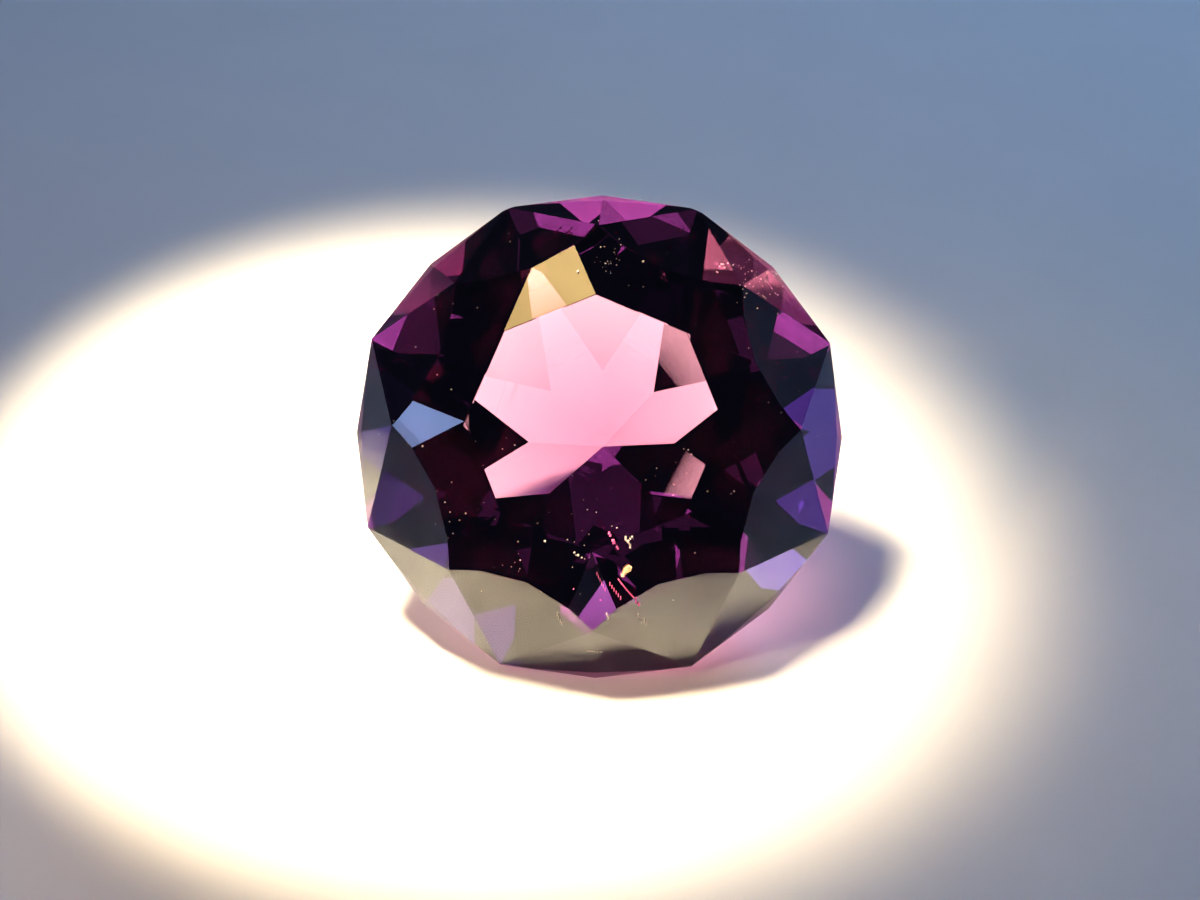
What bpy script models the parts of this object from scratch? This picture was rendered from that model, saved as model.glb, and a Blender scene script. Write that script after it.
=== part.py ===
"""Round brilliant-style cut amethyst, a loose stone that lies on one of its pavilion facets.

The stone is made as a cutter makes it: a round blank is ground flat, one facet after another, in tiers.
Every tier has an angle to the girdle plane and a ring of index positions. The sizes of a tier follow from
the points where facets meet, so a change of one driving dimension keeps every corner sharp.

Units are metres and degrees, +Z is up. The stone's own axis runs from the culet to the table. The blank is
cut upright, with the girdle plane at the stone's own height zero, and the finished stone is then leaned
over onto the facet that it rests on.
"""

import math

import bmesh
import bpy
from mathutils import Matrix, Vector

# Driving dimensions
GIRDLE_DIAMETER = 0.012          # across the girdle corners that stand below the table corners
GIRDLE_HEIGHT = 0.00048          # from the crown down to where the pavilion mains would meet the upright band
SYMMETRY = 8                     # index positions of the main facets

# Index positions, measured from a main facet and from the plane between two main facets
FIRST_MAIN = 22.5                # so that a lower break facet faces the front, for the stone to rest on
MAIN_STEP = 360.0 / SYMMETRY
HALF_OFFSET = 7.8                # the upper half facets and the girdle flats face this far from a corner plane

# Crown, as shares of the girdle radius and as angles
TABLE_CORNER = 0.522             # from the axis to a corner of the table
STAR_TIP = 0.6955                # from the axis to the outer point of a star facet
KITE_TIP = 0.831                 # from the axis to the outer point of a narrow kite
KITE_SIDE_OFFSET = 7.45          # the side corners of a narrow kite, to each side of its middle
CROWN_MAIN_ANGLE = 46.0
KITE_ANGLE = 27.4

# Pavilion
PAVILION_MAIN_ANGLE = 37.25
LOWER_BREAK_ANGLE = 42.4         # the lower break facets, one under each corner of the table
BREAK_FACET_TIP = 0.303          # from the axis to the inner point of a lower break facet

# Small chips that blunt two corners of the girdle
CHIPPED_CORNERS = (67.5, 112.5)  # index positions
CHIP_WIDTH = 0.00032

# Blank
BLANK_SIDES = 64
BLANK_MARGIN = 1.25              # the blank is this much larger than the finished stone
SNAP = 1e-6                      # corners closer than this are one corner

# Material
AMETHYST_COLOUR = (0.30, 0.07, 0.42, 1.0)
AMETHYST_ROUGHNESS = 0.02
AMETHYST_REFRACTION = 1.55

RADIUS = GIRDLE_DIAMETER / 2
MAINS = [FIRST_MAIN + MAIN_STEP * k for k in range(SYMMETRY)]
CORNERS = [azimuth + MAIN_STEP / 2 for azimuth in MAINS]


def tan(degrees):
    return math.tan(math.radians(degrees))


def cos(degrees):
    return math.cos(math.radians(degrees))


def polar(radius, azimuth, height):
    """The point at this distance from the stone's axis, this way round it and this high above the girdle."""
    turn = math.radians(azimuth)
    return Vector((radius * math.cos(turn), radius * math.sin(turn), height))


def facet(angle, azimuth, point, down=False):
    """A flat at this angle to the girdle plane, facing this way round, through the point."""
    normal = polar(math.sin(math.radians(angle)), azimuth, math.cos(math.radians(angle)))
    if down:
        normal.z = -normal.z
    return point, normal


def facet_through(first, second, third):
    """The flat of the crown that holds these three meeting points."""
    normal = (second - first).cross(third - first).normalized()
    return first, normal if normal.z > 0 else -normal


# Radii of the girdle: its flats, and its corners on the main facets
FLAT_RADIUS = RADIUS * cos(HALF_OFFSET)
MAIN_CORNER_RADIUS = FLAT_RADIUS / cos(MAIN_STEP / 2 - HALF_OFFSET)
TOP = GIRDLE_HEIGHT / 2
BOTTOM = -GIRDLE_HEIGHT / 2


def crown_main_height(radius, offset):
    """Height of a crown main facet at this radius, this many degrees from its middle."""
    return TOP + tan(CROWN_MAIN_ANGLE) * (MAIN_CORNER_RADIUS - radius * cos(offset))


def kite_height(radius, offset):
    """Height of a narrow kite facet at this radius, this many degrees from its middle."""
    tip_radius = RADIUS * KITE_TIP
    tip_height = crown_main_height(tip_radius, MAIN_STEP / 2)
    return tip_height + tan(KITE_ANGLE) * (tip_radius - radius * cos(offset))


def kite_side_radius():
    """Where the kite and the main facet are equally high, at the kite's side corner."""
    main_slope = tan(CROWN_MAIN_ANGLE)
    kite_slope = tan(KITE_ANGLE)
    rise = crown_main_height(0.0, 0.0) - kite_height(0.0, 0.0)
    main_part = main_slope * cos(MAIN_STEP / 2 - KITE_SIDE_OFFSET)
    kite_part = kite_slope * cos(KITE_SIDE_OFFSET)
    return rise / (main_part - kite_part)


def crown_half_angle():
    """The upper half facets run from the girdle flats to the outer points of the kites."""
    tip_radius = RADIUS * KITE_TIP
    rise = crown_main_height(tip_radius, MAIN_STEP / 2) - TOP
    run = FLAT_RADIUS - tip_radius * cos(HALF_OFFSET)
    return math.degrees(math.atan2(rise, run))


def break_tip(azimuth):
    """The inner point of a lower break facet, on the ridge between two pavilion mains."""
    radius = RADIUS * BREAK_FACET_TIP
    drop = tan(PAVILION_MAIN_ANGLE) * (MAIN_CORNER_RADIUS - radius * cos(MAIN_STEP / 2))
    return polar(radius, azimuth, BOTTOM - drop)


def girdle_tier():
    for corner in CORNERS:
        for side in (-HALF_OFFSET, HALF_OFFSET):
            yield facet(90.0, corner + side, polar(FLAT_RADIUS, corner + side, 0.0))


def pavilion_main_tier():
    for azimuth in MAINS:
        yield facet(PAVILION_MAIN_ANGLE, azimuth, polar(MAIN_CORNER_RADIUS, azimuth, BOTTOM), down=True)


def lower_break_tier():
    """Steeper than the mains, so they also thin the girdle under the table corners."""
    for corner in CORNERS:
        yield facet(LOWER_BREAK_ANGLE, corner, break_tip(corner), down=True)


def crown_main_tier():
    for azimuth in MAINS:
        yield facet(CROWN_MAIN_ANGLE, azimuth, polar(MAIN_CORNER_RADIUS, azimuth, TOP))


def crown_half_tier():
    for corner in CORNERS:
        for side in (-HALF_OFFSET, HALF_OFFSET):
            yield facet(crown_half_angle(), corner + side, polar(FLAT_RADIUS, corner + side, TOP))


def kite_tier():
    for corner in CORNERS:
        yield facet(KITE_ANGLE, corner, polar(0.0, corner, kite_height(0.0, 0.0)))


def table_corner(azimuth):
    radius = RADIUS * TABLE_CORNER
    return polar(radius, azimuth, kite_height(radius, 0.0))


def star_tip(azimuth):
    radius = RADIUS * STAR_TIP
    return polar(radius, azimuth, crown_main_height(radius, 0.0))


def kite_side(corner, side):
    radius = kite_side_radius()
    azimuth = corner + side * KITE_SIDE_OFFSET
    return polar(radius, azimuth, kite_height(radius, KITE_SIDE_OFFSET))


def triangle_tier():
    """The small triangles between a kite, a star and a main facet."""
    for corner in CORNERS:
        for side in (-1, 1):
            tip = star_tip(corner + side * MAIN_STEP / 2)
            yield facet_through(table_corner(corner), tip, kite_side(corner, side))


def star_tier():
    for azimuth in MAINS:
        left = table_corner(azimuth + MAIN_STEP / 2)
        right = table_corner(azimuth - MAIN_STEP / 2)
        yield facet_through(left, right, star_tip(azimuth))


def table():
    yield facet(0.0, 0.0, table_corner(CORNERS[0]))


def chips():
    """An upright flat across each blunted corner, as wide as the chip."""
    depth = CHIP_WIDTH / 2 * tan(MAIN_STEP / 2 - HALF_OFFSET)
    for azimuth in CHIPPED_CORNERS:
        yield facet(90.0, azimuth, polar(MAIN_CORNER_RADIUS - depth, azimuth, 0.0))


def round_blank():
    """The rough, ground to a plain cylinder."""
    blank = bmesh.new()
    bmesh.ops.create_cone(
        blank,
        cap_ends=True,
        segments=BLANK_SIDES,
        radius1=RADIUS * BLANK_MARGIN,
        radius2=RADIUS * BLANK_MARGIN,
        depth=GIRDLE_DIAMETER * BLANK_MARGIN,
    )
    return blank


def grind(stone, point, normal):
    """Takes away all that stands above the flat, and closes the cut with one facet."""
    bmesh.ops.bisect_plane(
        stone,
        geom=stone.verts[:] + stone.edges[:] + stone.faces[:],
        dist=SNAP,
        plane_co=point,
        plane_no=normal,
        clear_outer=True,
    )
    rim = [edge for edge in stone.edges if edge.is_boundary]
    if rim:
        bmesh.ops.holes_fill(stone, edges=rim, sides=0)


def faceted_stone():
    """The finished stone, upright, as a mesh."""
    tiers = (
        girdle_tier,
        pavilion_main_tier,
        lower_break_tier,
        crown_main_tier,
        crown_half_tier,
        kite_tier,
        triangle_tier,
        star_tier,
        table,
        chips,
    )
    stone = round_blank()
    for tier in tiers:
        for point, normal in tier():
            grind(stone, point, normal)
    bmesh.ops.remove_doubles(stone, verts=stone.verts[:], dist=SNAP)
    bmesh.ops.dissolve_degenerate(stone, edges=stone.edges[:], dist=SNAP)
    bmesh.ops.recalc_face_normals(stone, faces=stone.faces[:])
    mesh = bpy.data.meshes.new("amethyst_stone")
    stone.to_mesh(mesh)
    stone.free()
    return mesh


def amethyst_material():
    """Clear violet quartz with a high polish."""
    material = bpy.data.materials.new("amethyst")
    material.use_nodes = True
    shader = material.node_tree.nodes["Principled BSDF"]
    shader.inputs["Base Color"].default_value = AMETHYST_COLOUR
    shader.inputs["Roughness"].default_value = AMETHYST_ROUGHNESS
    shader.inputs["Metallic"].default_value = 0.0
    shader.inputs["IOR"].default_value = AMETHYST_REFRACTION
    shader.inputs["Transmission Weight"].default_value = 1.0
    return material


def resting_place(mesh):
    """Leans the stone onto its front lower break facet, with the middle of its box above the origin."""
    lean = Matrix.Rotation(math.radians(LOWER_BREAK_ANGLE), 4, "X")
    corners = [lean @ vertex.co for vertex in mesh.vertices]
    middle = []
    for axis in (0, 1):
        values = [corner[axis] for corner in corners]
        middle.append((min(values) + max(values)) / 2)
    lowest = min(corner.z for corner in corners)
    return Matrix.Translation((-middle[0], -middle[1], -lowest)) @ lean


def clear_scene():
    for item in list(bpy.data.objects):
        bpy.data.objects.remove(item, do_unlink=True)


def main():
    clear_scene()
    collection = bpy.data.collections.new("loose_amethyst")
    bpy.context.scene.collection.children.link(collection)
    mesh = faceted_stone()
    stone = bpy.data.objects.new("amethyst_stone", mesh)
    stone.data.materials.append(amethyst_material())
    stone.matrix_world = resting_place(mesh)
    collection.objects.link(stone)


main()
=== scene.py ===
# %% [markdown]
# # A loose cut amethyst
#
# This lesson dresses the model of a small round amethyst, twelve millimetres across, that lies on a pale
# table with its flat top towards us. The solid is already cut, facet by facet, so the work here is in the
# glassy finish, the light that passes through the stone, and the dust and flaws that make it real.
#
# The first step loads that solid. Everything after it is in metres and in the same place as the solid.

# %% Load the cut stone
import math
import random

import bpy
from mathutils import Matrix, Vector


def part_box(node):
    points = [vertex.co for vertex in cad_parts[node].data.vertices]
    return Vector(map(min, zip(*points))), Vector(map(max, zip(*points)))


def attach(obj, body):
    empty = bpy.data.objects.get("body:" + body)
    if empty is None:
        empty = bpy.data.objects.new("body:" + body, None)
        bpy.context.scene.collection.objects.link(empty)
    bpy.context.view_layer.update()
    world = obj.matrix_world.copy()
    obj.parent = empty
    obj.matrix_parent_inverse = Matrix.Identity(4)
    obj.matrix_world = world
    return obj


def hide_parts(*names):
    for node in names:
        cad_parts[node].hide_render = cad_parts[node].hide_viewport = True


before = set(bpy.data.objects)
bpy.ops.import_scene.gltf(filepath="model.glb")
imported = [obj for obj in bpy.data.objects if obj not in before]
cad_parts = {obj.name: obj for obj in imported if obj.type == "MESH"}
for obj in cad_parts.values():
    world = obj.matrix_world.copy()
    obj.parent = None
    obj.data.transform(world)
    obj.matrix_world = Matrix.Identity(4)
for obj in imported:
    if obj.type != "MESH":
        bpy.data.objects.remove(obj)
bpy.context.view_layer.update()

MM = 0.001
low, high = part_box("amethyst_stone")
print("the stone's sides in mm:", [round(side / MM, 2) for side in high - low])

# %% [markdown]
# ## Selecting with code
#
# Blender's operators act on whatever is selected. A small helper clears the selection and makes one object
# the active one, so that each later step starts from a known state.

# %% A helper for the selection
def select_only(piece):
    bpy.ops.object.select_all(action="DESELECT")
    piece.select_set(True)
    bpy.context.view_layer.objects.active = piece


# %% [markdown]
# ## The camera
#
# The stone was looked at with a long lens from in front and above. Its flat top, the table, almost faces
# the lens. The eye is given as a place relative to the middle of the stone's widest plane, the girdle. The
# camera looks down by forty-one degrees and is almost level.

# %% Place the camera
LEAN = math.radians(42.4)
STONE_AXIS = Vector((0.0, -math.sin(LEAN), math.cos(LEAN)))
GIRDLE_CENTRE = Vector((0.0, 0.3055, 3.911)) * MM
EYE = GIRDLE_CENTRE + Vector((5.421, -90.998, 78.404)) * MM
BACKWARD = Vector((0.0449, -0.7550, 0.6542)).normalized()
UPWARD = Vector((-0.0100, 0.6544, 0.7560))
FOCAL_PIXELS = 4861.0
IMAGE_WIDTH = 1200.0

camera_data = bpy.data.cameras.new("long_lens")
camera = bpy.data.objects.new("long_lens", camera_data)
bpy.context.scene.collection.objects.link(camera)
bpy.context.scene.camera = camera
rightward = UPWARD.cross(BACKWARD).normalized()
upward = BACKWARD.cross(rightward)
turn = Matrix((rightward, upward, BACKWARD)).transposed().to_4x4()
camera.matrix_world = Matrix.Translation(EYE) @ turn
camera_data.sensor_width = 36.0
camera_data.lens = FOCAL_PIXELS / IMAGE_WIDTH * camera_data.sensor_width
camera_data.clip_start = 0.005
camera_data.clip_end = 10.0
print("lens in mm:", round(camera_data.lens, 1), "distance in mm:", round(EYE.length / MM, 1))

# %% [markdown]
# ## Writing materials as sums
#
# A material in Blender is a graph of nodes. Wiring it by hand is slow to read, so this small class wraps
# one socket and lets us write sums such as `0.6 + blotches * 0.3`. Each sum adds its own Math node. Any
# other kind of node comes from `node`, which takes the node's type, its settings and what feeds it.

# %% A small language for shaders
class Socket:
    def __init__(self, tree, socket):
        self.tree = tree
        self.socket = socket

    def math(self, operation, first, second=None):
        values = [first] if second is None else [first, second]
        return node(self.tree, "ShaderNodeMath", {"operation": operation}, dict(enumerate(values)))

    def __add__(self, other):
        return self.math("ADD", self, other)

    __radd__ = __add__

    def __sub__(self, other):
        return self.math("SUBTRACT", self, other)

    def __mul__(self, other):
        return self.math("MULTIPLY", self, other)

    def __abs__(self):
        return self.math("ABSOLUTE", self)


def node(tree, kind, settings=None, inputs=None, output=0):
    """Adds a node, sets it up, feeds its sockets and hands back the output that was asked for."""
    made = tree.nodes.new(kind)
    for name, value in (settings or {}).items():
        setattr(made, name, value)
    for name, value in (inputs or {}).items():
        if isinstance(value, Socket):
            tree.links.new(value.socket, made.inputs[name])
        else:
            made.inputs[name].default_value = value
    return Socket(tree, made.outputs[output])


def new_material(name):
    """A material with its Principled shader, ready to be wired."""
    material = bpy.data.materials.new(name)
    material.use_nodes = True
    return material, material.node_tree, material.node_tree.nodes["Principled BSDF"]


def feed(shader, name, value):
    """Sets a plain number or colour on the shader's own socket, or links a pattern to it."""
    if isinstance(value, Socket):
        value.tree.links.new(value.socket, shader.inputs[name])
    else:
        shader.inputs[name].default_value = value


def place_on(tree, scale=1.0):
    """Where a point lies on the piece, in metres times this scale."""
    point = node(tree, "ShaderNodeTexCoord", output="Object")
    return node(tree, "ShaderNodeMapping", inputs={"Vector": point, "Scale": (scale, scale, scale)})


# %% [markdown]
# ## The stone
#
# Every facet of a cut stone is dead flat, and the edges between facets are only as sharp as the last
# polishing lap leaves them: under a lens they are about a hundredth of a millimetre wide, and they catch the
# light as thin bright lines. The solid is a set of loose triangles, so the visible stone is a copy of it
# whose triangles are merged back into whole facets. Then a bevel of ten microns softens the edges of the
# crown, the part above the girdle. The pavilion below it was never touched, and its edges stay sharp.

# %% Copy the solid and merge it into facets
EDGE_WEAR = 0.01 * MM
FLATNESS = math.radians(0.2)

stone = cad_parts["amethyst_stone"].copy()
stone.data = stone.data.copy()
stone.name = "polished_stone"
bpy.context.scene.collection.objects.link(stone)
stone.parent = None
for key in list(stone.keys()):
    del stone[key]
select_only(stone)
bpy.ops.object.mode_set(mode="EDIT")
bpy.ops.mesh.select_all(action="SELECT")
bpy.ops.mesh.remove_doubles(threshold=1e-6)
bpy.ops.mesh.dissolve_limited(angle_limit=FLATNESS)
bpy.ops.mesh.select_all(action="SELECT")
bpy.ops.mesh.normals_make_consistent(inside=False)
bpy.ops.object.mode_set(mode="OBJECT")
print("facets after merging:", len(stone.data.polygons))

# %% Soften the edges
CROWN_START = 0.3 * MM

crown = stone.vertex_groups.new(name="crown")
for vertex in stone.data.vertices:
    if (vertex.co - GIRDLE_CENTRE).dot(STONE_AXIS) > CROWN_START:
        crown.add([vertex.index], 1.0, "REPLACE")
wear = stone.modifiers.new("edge_wear", "BEVEL")
wear.width = EDGE_WEAR
wear.segments = 1
wear.limit_method = "VGROUP"
wear.vertex_group = crown.name
wear.use_clamp_overlap = True
select_only(stone)
bpy.ops.object.modifier_apply(modifier=wear.name)
bpy.ops.object.shade_flat()
print("faces with worn edges:", len(stone.data.polygons))

# %% [markdown]
# ## The polish and the colour inside
#
# Amethyst is clear quartz. Light bends at its surface as it does in glass, and all of its colour comes from
# the depth of stone that the light has crossed. So the surface itself stays nearly white, and the violet is
# an absorption in the volume: green goes first, and long paths turn from pink to purple to black.
#
# The polish has faint scuffs, drawn here by a noise that only moves the roughness. The girdle is left
# frosty, one corner near the back has a hazy flaw, and a film from fingers makes the facets mirror more.
# That film is a second, thin layer over the first: the shader's coat.

# %% The stone's material
AMETHYST_IOR = 1.557
COLOUR_KEPT = (0.73, 0.40, 0.625, 1.0)
ABSORPTION_DENSITY = 400.0
CLEAR_TINT = (1.0, 1.0, 1.0, 1.0)
DEEP_TINT = (0.96, 0.90, 0.97, 1.0)
TINT_PATCH = 5 * MM
SCUFF_ROUGHNESS = 0.006
SCUFF_SIZE = 0.9 * MM
GIRDLE_FROST = 0.35
FROST_INSIDE = 0.19 * MM
FROST_OUTSIDE = 0.25 * MM
FILM_LEAST = 0.6
FILM_PATCH = 2.5 * MM
FILM_IOR = 1.7
FILM_ROUGHNESS = 0.02
HAZE_ROUGHNESS = 0.4
HAZE_PLACE = Vector((4.3, 2.9, 6.9)) * MM
HAZE_CORE = 0.3 * MM
HAZE_REACH = 1.4 * MM
WISP_SIZE = 0.35 * MM


def height_over_girdle(tree):
    """How far a point lies above the plane of the girdle, measured along the stone's own axis."""
    dot = node(tree, "ShaderNodeVectorMath", {"operation": "DOT_PRODUCT"},
               {0: place_on(tree), 1: tuple(STONE_AXIS)}, output=1)
    return dot - GIRDLE_CENTRE.dot(STONE_AXIS)


def ranged(tree, value, start, end, low=0.0, high=1.0):
    """Carries a value from one range over to another and keeps it inside."""
    return node(tree, "ShaderNodeMapRange", inputs={
        "Value": value, "From Min": start, "From Max": end, "To Min": low, "To Max": high})


def noise(tree, size, detail, roughness=0.5, distortion=0.0):
    """A noise whose blotches are about this wide, in metres."""
    return node(tree, "ShaderNodeTexNoise", inputs={
        "Vector": place_on(tree, 1 / size), "Scale": 1.0, "Detail": detail,
        "Roughness": roughness, "Distortion": distortion})


def mixed(tree, factor, first, second):
    return node(tree, "ShaderNodeMix", {"data_type": "RGBA"}, {
        "Factor": factor, "A": first, "B": second}, output=2)


def amethyst_finish():
    material, tree, shader = new_material("polished_amethyst")
    scuffs = ranged(tree, noise(tree, SCUFF_SIZE, 4.0, 0.6), 0.55, 0.75)
    frost = ranged(tree, abs(height_over_girdle(tree)), FROST_INSIDE, FROST_OUTSIDE, 1.0, 0.0)
    away = node(tree, "ShaderNodeVectorMath", {"operation": "DISTANCE"},
                {0: place_on(tree), 1: tuple(HAZE_PLACE)}, output=1)
    wisps = noise(tree, WISP_SIZE, 5.0, distortion=1.5)
    haze = ranged(tree, away, HAZE_CORE, HAZE_REACH, 1.0, 0.0) * ranged(tree, wisps, 0.5, 0.68)
    film = noise(tree, FILM_PATCH, 3.0, distortion=0.6)
    feed(shader, "Base Color", mixed(tree, noise(tree, TINT_PATCH, 1.0), CLEAR_TINT, DEEP_TINT))
    feed(shader, "Roughness", scuffs * SCUFF_ROUGHNESS + frost * GIRDLE_FROST + haze * HAZE_ROUGHNESS)
    feed(shader, "IOR", AMETHYST_IOR)
    feed(shader, "Transmission Weight", 1.0)
    feed(shader, "Coat Weight", ranged(tree, film, 0.35, 0.65, FILM_LEAST, 1.0))
    feed(shader, "Coat IOR", FILM_IOR)
    feed(shader, "Coat Roughness", FILM_ROUGHNESS)
    depth = tree.nodes.new("ShaderNodeVolumeAbsorption")
    depth.inputs["Color"].default_value = COLOUR_KEPT
    depth.inputs["Density"].default_value = ABSORPTION_DENSITY
    tree.links.new(depth.outputs["Volume"], tree.nodes["Material Output"].inputs["Volume"])
    return material


stone.data.materials.clear()
stone.data.materials.append(amethyst_finish())
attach(stone, "root")
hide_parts("amethyst_stone")
print("the stone is dressed")

# %% [markdown]
# ## Finding a place on the crown
#
# Dust and lint lie on the crown, the side with the table. A place there is easiest to give the way a cutter
# would: an angle round the stone's axis and a distance from it. A ray dropped along the axis finds the
# facet. Past the stone's edge the ray meets nothing and hands back the origin instead. One grain of the
# dust ends up there, under the stone, and a next version would skip it.

# %% A ray along the stone's axis
RIGHT = Vector((1.0, 0.0, 0.0))
UPHILL = STONE_AXIS.cross(RIGHT)
OVER_THE_CROWN = 8


def on_crown(azimuth, radius, lift=0.0):
    """The place on a crown facet at this angle and this many millimetres from the axis, lifted a little."""
    turn = math.radians(azimuth)
    start = GIRDLE_CENTRE + (RIGHT * math.cos(turn) + UPHILL * math.sin(turn)) * radius * MM
    place, normal = stone.ray_cast(start + STONE_AXIS * OVER_THE_CROWN * MM, -STONE_AXIS)[1:3]
    return place + normal * lift * MM


print("the middle of the table in mm:", [round(value / MM, 2) for value in on_crown(0.0, 0.0)])

# %% [markdown]
# ## Dust
#
# Under a strong lamp a few grains of dust shine like stars on the dark facets. Each grain is a tiny ball of
# twenty faces, pressed out of round. All of them are added in edit mode, so that they form one mesh. Fine
# grains lie all over the crown and coarse ones on its lower half. Then come a few clusters, and some single
# grains with places of their own.

# %% Start and end a piece that is built in edit mode
BLOTCH_SIZE = 0.05 * MM


def start_piece(name):
    """An empty piece at the origin, left open in edit mode."""
    bpy.ops.object.select_all(action="DESELECT")
    bpy.ops.mesh.primitive_ico_sphere_add(subdivisions=1, radius=MM, location=(0, 0, 0))
    piece = bpy.context.active_object
    piece.name = name
    bpy.ops.object.mode_set(mode="EDIT")
    bpy.ops.mesh.select_all(action="SELECT")
    bpy.ops.mesh.delete(type="VERT")
    return piece


def end_piece(piece, material):
    bpy.ops.mesh.select_all(action="SELECT")
    bpy.ops.mesh.normals_make_consistent(inside=False)
    bpy.ops.object.mode_set(mode="OBJECT")
    piece.data.materials.clear()
    piece.data.materials.append(material)
    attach(piece, "root")
    print(piece.name, "has", len(piece.data.polygons), "faces")


def dust_and_glint_finish(name, bright, dark):
    """A dry, chalky surface with blotches, used for dust and lint and also for the painted glints."""
    material, tree, shader = new_material(name)
    blotches = noise(tree, BLOTCH_SIZE, 2.0)
    feed(shader, "Base Color", mixed(tree, ranged(tree, blotches, 0.35, 0.65), bright, dark))
    feed(shader, "Roughness", 0.6 + blotches * 0.3)
    return material


# %% Scatter the dust
FINE_GRAINS = 70
COARSE_GRAINS = 30
dice = random.Random(11)


def grain(azimuth, radius, size):
    """One grain, about as wide as it is told, resting on a facet."""
    squash = (dice.uniform(0.7, 1.4), dice.uniform(0.7, 1.4), dice.uniform(0.6, 1.1))
    turn = (dice.uniform(0, 3), dice.uniform(0, 3), dice.uniform(0, 3))
    bpy.ops.mesh.primitive_ico_sphere_add(
        subdivisions=1, radius=size / 2 * MM, location=on_crown(azimuth, radius, size / 3),
        rotation=turn, scale=squash)


def cluster(azimuth, radius, spread, count, size):
    """Grains round a middle place, the spread in millimetres."""
    for _ in range(count):
        off = dice.gauss(0, spread)
        side = math.degrees(dice.gauss(0, spread) / radius)
        grain(azimuth + side, radius + off, size * dice.uniform(0.5, 1.3))


dust = start_piece("dust")
for _ in range(FINE_GRAINS):
    grain(dice.uniform(0, 360), 5.4 * math.sqrt(dice.random()), dice.uniform(0.008, 0.022))
for _ in range(COARSE_GRAINS):
    grain(dice.uniform(185, 340), dice.uniform(1.6, 4.9), dice.uniform(0.014, 0.032))
cluster(87.0, 4.05, 0.17, 26, 0.018)
cluster(266.0, 3.2, 0.30, 7, 0.026)
cluster(215.0, 4.3, 0.30, 6, 0.028)
cluster(336.0, 2.4, 0.35, 7, 0.022)
cluster(44.0, 5.35, 0.32, 45, 0.022)
cluster(52.0, 5.1, 0.12, 8, 0.04)
grain(248.3, 3.10, 0.065)
grain(262.2, 3.18, 0.05)
grain(263.9, 3.23, 0.055)
grain(265.6, 3.28, 0.045)
grain(283.0, 2.62, 0.04)
grain(187.5, 4.22, 0.045)
grain(74.6, 4.17, 0.06)
grain(97.2, 3.76, 0.07)
end_piece(dust, dust_and_glint_finish("dust", (0.95, 0.88, 0.72, 1.0), (0.70, 0.55, 0.50, 1.0)))

# %% [markdown]
# ## Lint and painted glints
#
# A thread is a chain of thin five-sided tubes that follows the facets from one place to the next. The white
# ones are lint. The pink threads and grains are painted glints: their hot pink colour stands in for the
# lamp's light seen through the stone. Last comes one painted glint of the lamp, a fleck coloured warm
# orange.

# %% Threads and painted glints
def tube(start, end, thickness):
    """A thin tube between two places."""
    along_it = end - start
    bpy.ops.mesh.primitive_cylinder_add(
        vertices=5, radius=thickness / 2 * MM, depth=along_it.length,
        location=(start + end) / 2, rotation=along_it.to_track_quat("Z", "Y").to_euler())


def thread(first, last, thickness, steps=6, wobble=0.0):
    """A thread over the crown, between two places given by angle and distance from the axis."""
    places = []
    for step in range(steps + 1):
        share = step / steps
        azimuth = first[0] + (last[0] - first[0]) * share + dice.uniform(-wobble, wobble)
        radius = first[1] + (last[1] - first[1]) * share
        places.append(on_crown(azimuth, radius, thickness / 2))
    for start, end in zip(places, places[1:]):
        tube(start, end, thickness)


lint = start_piece("lint")
thread((286.0, 2.86), (287.4, 3.16), 0.045, 3, 0.6)
thread((286.6, 3.00), (289.6, 2.90), 0.045, 3, 0.4)
thread((274.2, 4.55), (275.0, 4.70), 0.035, 3, 0.3)
thread((259.0, 4.62), (261.2, 4.88), 0.02, 4, 0.2)
thread((283.0, 4.66), (285.6, 4.94), 0.02, 4, 0.2)
thread((268.0, 5.40), (272.5, 5.42), 0.02, 4, 0.2)
end_piece(lint, dust_and_glint_finish("lint", (0.98, 0.92, 0.80, 1.0), (0.90, 0.72, 0.60, 1.0)))

# Painted glints: the hot pink of these threads and grains stands in for the lamp's light seen through the
# stone.
pink_glint_threads = start_piece("painted_pink_glints")
thread((279.4, 3.80), (284.3, 4.40), 0.035)
thread((275.9, 3.86), (279.5, 4.28), 0.018)
thread((271.5, 3.60), (274.6, 4.05), 0.012)
thread((277.9, 2.68), (279.0, 2.80), 0.05, 2, 0.4)
thread((279.6, 2.88), (280.3, 2.98), 0.07, 2, 0.3)
thread((280.9, 3.04), (281.5, 3.12), 0.05, 2, 0.3)
grain(284.4, 4.45, 0.09)
grain(263.5, 4.02, 0.05)
grain(272.6, 4.25, 0.05)
end_piece(pink_glint_threads, dust_and_glint_finish("painted_pink_glints", (1.0, 0.22, 0.45, 1.0), (0.85, 0.10, 0.38, 1.0)))

# A painted glint: this fleck's warm orange colour stands in for the lamp's highlight.
lamp_glint_piece = start_piece("bright_fleck")
thread((280.8, 3.74), (283.8, 3.60), 0.11, 3, 0.2)
thread((282.6, 3.62), (284.6, 3.58), 0.16, 2, 0.2)
end_piece(lamp_glint_piece, dust_and_glint_finish("bright_fleck", (1.0, 0.75, 0.45, 1.0), (1.0, 0.45, 0.25, 1.0)))

# %% [markdown]
# ## The table that it lies on
#
# A plain pale sheet is enough. Very fine mottling keeps it from looking like empty space.

# %% The pale floor
FLOOR_SIDE = 1.2
FLOOR_GAP = 0.01 * MM
FLOOR_ROUGHNESS = 0.7
MOTTLE_SIZE = 3 * MM


def floor_finish():
    material, tree, shader = new_material("pale_floor")
    colour = mixed(tree, noise(tree, MOTTLE_SIZE, 3.0), (0.74, 0.75, 0.78, 1.0), (0.80, 0.81, 0.83, 1.0))
    feed(shader, "Base Color", colour)
    feed(shader, "Roughness", FLOOR_ROUGHNESS)
    return material


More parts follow.
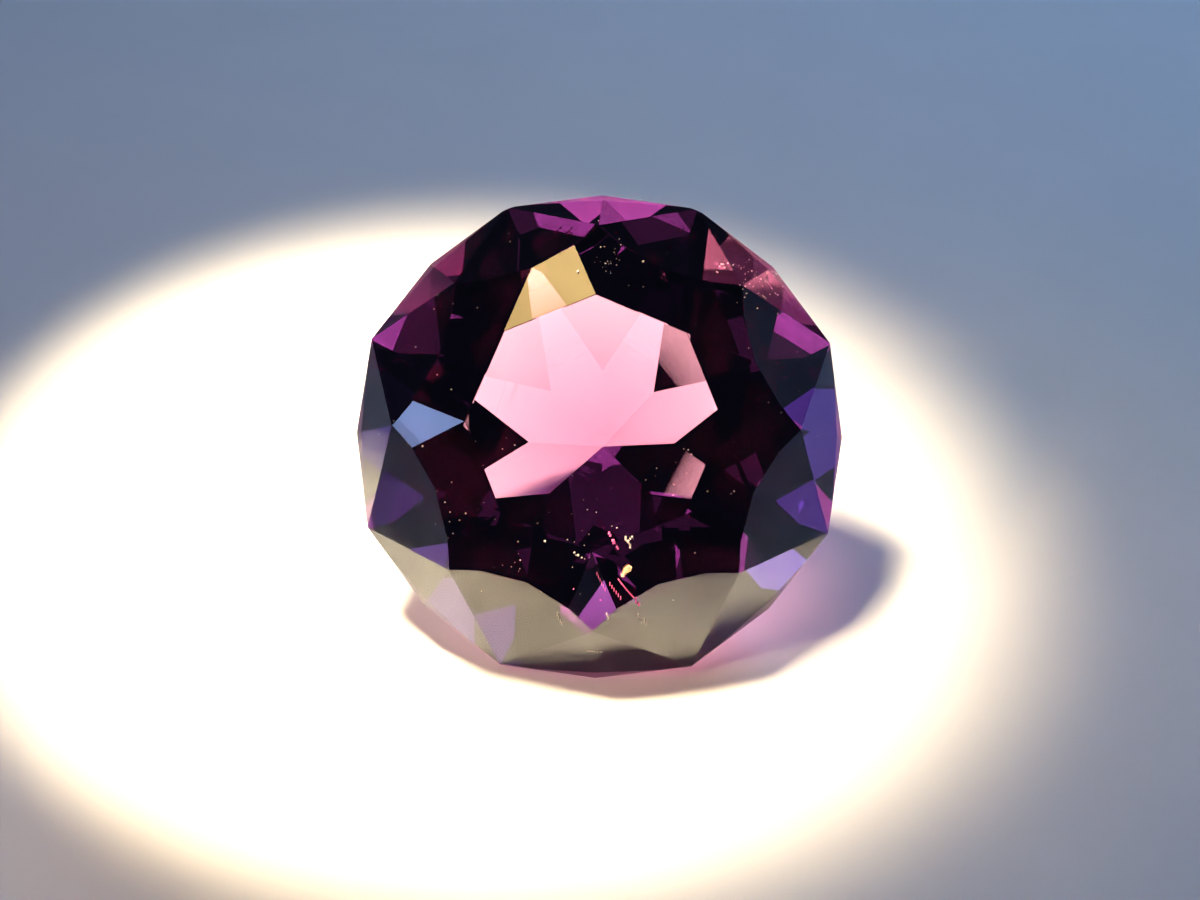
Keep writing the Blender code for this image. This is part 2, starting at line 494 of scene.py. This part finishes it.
bpy.ops.object.select_all(action="DESELECT")
bpy.ops.mesh.primitive_plane_add(size=FLOOR_SIDE, location=(0, 0, -FLOOR_GAP))
floor = bpy.context.active_object
floor.name = "pale_floor"
floor.data.materials.append(floor_finish())
print("floor side in m:", FLOOR_SIDE)

# %% [markdown]
# ## The light
#
# One warm lamp stands behind the stone and to its left and makes a bright pool on the table. The camera
# sees that pool through the stone, and that is where its pink glow comes from. A dim bluish room fills the
# rest.

# %% Where a light stands
def from_stone(azimuth, elevation, distance):
    """A place seen from the stone: degrees from straight behind it, turning right, and degrees of height."""
    turn = math.radians(azimuth)
    rise = math.radians(elevation)
    level = math.cos(rise)
    return Vector((math.sin(turn) * level, math.cos(turn) * level, math.sin(rise))) * distance


def stand(name, data, place, target):
    """Puts a light there and turns it towards its target."""
    lamp = bpy.data.objects.new(name, data)
    bpy.context.scene.collection.objects.link(lamp)
    lamp.location = place
    lamp.rotation_euler = (Vector(target) - Vector(place)).to_track_quat("-Z", "Y").to_euler()
    return lamp


# %% [markdown]
# ## The lamp's pool
#
# A lamp that is large and close makes a pool with a soft rim, and a stone's shadow with a soft rim too. One
# spot light as large as the lamp would blur the pool far too much. So rings of small spots stand where the
# lamp's face is, and all of them are aimed at nearly the same pool. Some pools are drawn out to the right.

# %% The warm lamp
LAMP_PLACE = from_stone(-52.0, 69.0, 0.15)
LAMP_RADIUS = 0.016
LAMP_COLOUR = (1.0, 0.80, 0.51)
POOL_POWER = 5.0
POOL_X = -5.0
POOL_Y = 0.9
POOL_RADIUS = 10.4
POOL_STRETCH = 3.0
POOL_RIM_SOFTNESS = 0.10
BEAM_RINGS = 2
BEAM_SIZE = 0.0025


def warm_beam(name, place, middle, reach, blend, power, size, colour=LAMP_COLOUR):
    """A cone of light: the middle and radius of its pool on the floor, and the softness of its rim."""
    beam = bpy.data.lights.new(name, "SPOT")
    beam.energy = power
    beam.spot_size = 2 * math.atan(reach / LAMP_PLACE.length)
    beam.spot_blend = blend
    beam.color = colour
    beam.shadow_soft_size = size
    stand(name, beam, place, middle).visible_glossy = False


toward = LAMP_PLACE.normalized()
across = toward.cross(Vector((0, 0, 1))).normalized()
along = toward.cross(across)
beam_count = 1 + 3 * BEAM_RINGS * (BEAM_RINGS + 1)
dice = random.Random(5)
for ring in range(BEAM_RINGS + 1):
    for step in range(max(1, 6 * ring)):
        angle = math.tau * step / max(1, 6 * ring) + 0.3 * ring
        out = (LAMP_RADIUS - BEAM_SIZE) * ring / BEAM_RINGS
        place = LAMP_PLACE + (across * math.cos(angle) + along * math.sin(angle)) * out
        stretch = dice.random() ** 1.5 * POOL_STRETCH
        middle = Vector((POOL_X + stretch * 0.8, POOL_Y, 0.0)) * MM
        reach = (POOL_RADIUS + stretch * 0.9) * MM
        warm_beam("lamp_beam", place, middle, reach, POOL_RIM_SOFTNESS, POOL_POWER / beam_count, BEAM_SIZE)
warm_beam("lamp_spill", LAMP_PLACE, Vector((-3.0, 0.5, 0.0)) * MM, 21.0 * MM, 1.0, 0.42, 0.03)
warm_beam("front_spill", from_stone(-115.0, 42.0, 0.15), Vector((-4.0, -6.0, 0.0)) * MM, 10.0 * MM,
          1.0, 1.3, 0.012, (1.0, 0.70, 0.42))
print("lamp in mm:", [round(value / MM) for value in LAMP_PLACE], "beams:", beam_count)

# %% [markdown]
# ## Lights that show in one way only
#
# A cut stone shows its surroundings twice: mirrored on the polish, and bent through the inside. Blender lets
# a light be seen by one kind of ray and hidden from another, so each of these lights gets one job. It shows
# as a mirror image, or through the stone, or it only brightens the table.

# %% A flat light and its one job
ROOM_DISTANCE = 0.4


def soft_light(name, place, width, height, radiance, colour, shape="RECTANGLE"):
    """A flat light that faces the stone. Its power follows from its size and how bright its face looks."""
    light = bpy.data.lights.new(name, "AREA")
    light.shape = shape
    light.size = width
    light.size_y = height
    area = width * height * (math.pi / 4 if shape == "ELLIPSE" else 1.0)
    light.energy = radiance * math.pi * area
    light.color = colour
    return stand(name, light, place, (0, 0, 0))


def mirrored(lamp):
    """The light shows on the polish, and not through the stone."""
    lamp.visible_transmission = False
    lamp.visible_diffuse = False


def only_in_the_stone(lamp):
    """The light shows through the stone and nowhere else."""
    lamp.visible_glossy = False
    lamp.visible_diffuse = False


def only_on_the_table(lamp):
    """The light brightens the table and is not seen itself."""
    lamp.visible_glossy = False
    lamp.visible_transmission = False


def in_the_room(name, azimuth, elevation, *face):
    """A flat light in the room, given by the direction in which it stands."""
    return soft_light(name, from_stone(azimuth, elevation, ROOM_DISTANCE), *face)


# %% What the polish mirrors
GOLD = (1.0, 0.66, 0.25)
MIRROR_BLUE = (0.36, 0.50, 1.0)
WINDOW_STRIPS = 8
STRIP_STEP = 0.8
STRIP_FADE = 0.72

mirrored(soft_light("lamp_face", LAMP_PLACE, 0.044, 0.044, 7.0, GOLD, "ELLIPSE"))
mirrored(soft_light("lamp_bulb", from_stone(-69.0, 69.0, 0.14), 0.009, 0.006, 12.0, GOLD, "ELLIPSE"))
for step in range(WINDOW_STRIPS):
    mirrored(in_the_room("bright_window", -106.0, 30.0 - STRIP_STEP * step, 0.05, 0.0056,
                         13.0 * STRIP_FADE ** step, MIRROR_BLUE))
mirrored(in_the_room("far_wall", 65.0, 18.0, 0.16, 0.12, 0.12, MIRROR_BLUE))
print("mirrored lights:", WINDOW_STRIPS + 3)

# %% What shows through the stone
CEILING = (0.66, 0.60, 1.0)
SKY = (0.26, 0.47, 1.0)
INDIGO = (0.20, 0.20, 1.0)

only_in_the_stone(in_the_room("ceiling_lamp", 180.0, 87.0, 0.29, 0.29, 7.0, CEILING, "ELLIPSE"))
only_in_the_stone(in_the_room("ceiling", 180.0, 86.0, 0.44, 0.44, 0.6, CEILING, "ELLIPSE"))
only_in_the_stone(in_the_room("ceiling_edge", -157.0, 66.5, 0.03, 0.03, 4.0, CEILING, "ELLIPSE"))
only_in_the_stone(in_the_room("ceiling_edge", 170.0, 62.5, 0.025, 0.025, 7.0, CEILING, "ELLIPSE"))
only_in_the_stone(in_the_room("side_lamp", -130.0, 52.0, 0.09, 0.09, 5.0, CEILING, "ELLIPSE"))
only_in_the_stone(in_the_room("window", -83.0, 20.0, 0.06, 0.08, 3.8, SKY))
only_in_the_stone(in_the_room("window_right", -70.0, 27.0, 0.05, 0.05, 4.5, SKY))
only_in_the_stone(in_the_room("window_edge", -98.0, 17.0, 0.22, 0.24, 1.7, INDIGO))
only_in_the_stone(in_the_room("right_wall", 101.0, 24.0, 0.12, 0.22, 1.4, (0.17, 0.14, 1.0)))
only_in_the_stone(in_the_room("far_sky", 50.0, 45.0, 0.22, 0.16, 1.8, (0.35, 0.45, 1.0)))

# %% [markdown]
# ## The last lights and the room
#
# The stone gathers light under the facet that it rests on. Path tracing finds that light too seldom, so a
# thin sheet of it lies in the gap. Two bluish glows then tint the table beyond the pool.

# %% The glow under the stone, the glows on the table and the room
gathered = soft_light("gathered_light", Vector((0.0, -0.3, -0.005)) * MM, 0.0036, 0.0032, 2.6,
                      (0.60, 0.38, 1.0), "ELLIPSE")
gathered.rotation_euler = (math.pi, 0.0, 0.0)
only_in_the_stone(gathered)
only_on_the_table(soft_light("sky_glow", Vector((60, 100, 70)) * MM, 0.04, 0.04, 19.0, (0.34, 0.60, 1.0)))
only_on_the_table(soft_light("table_glow", Vector((-80, -42, 30)) * MM, 0.03, 0.03, 3.0, (0.50, 0.38, 1.0)))

room = bpy.data.worlds.new("dim_room")
bpy.context.scene.world = room
room.use_nodes = True
room.node_tree.nodes["Background"].inputs["Color"].default_value = (0.22, 0.28, 0.60, 1.0)
room.node_tree.nodes["Background"].inputs["Strength"].default_value = 0.05
bpy.context.scene.view_settings.view_transform = "Standard"
print("the lights are on")
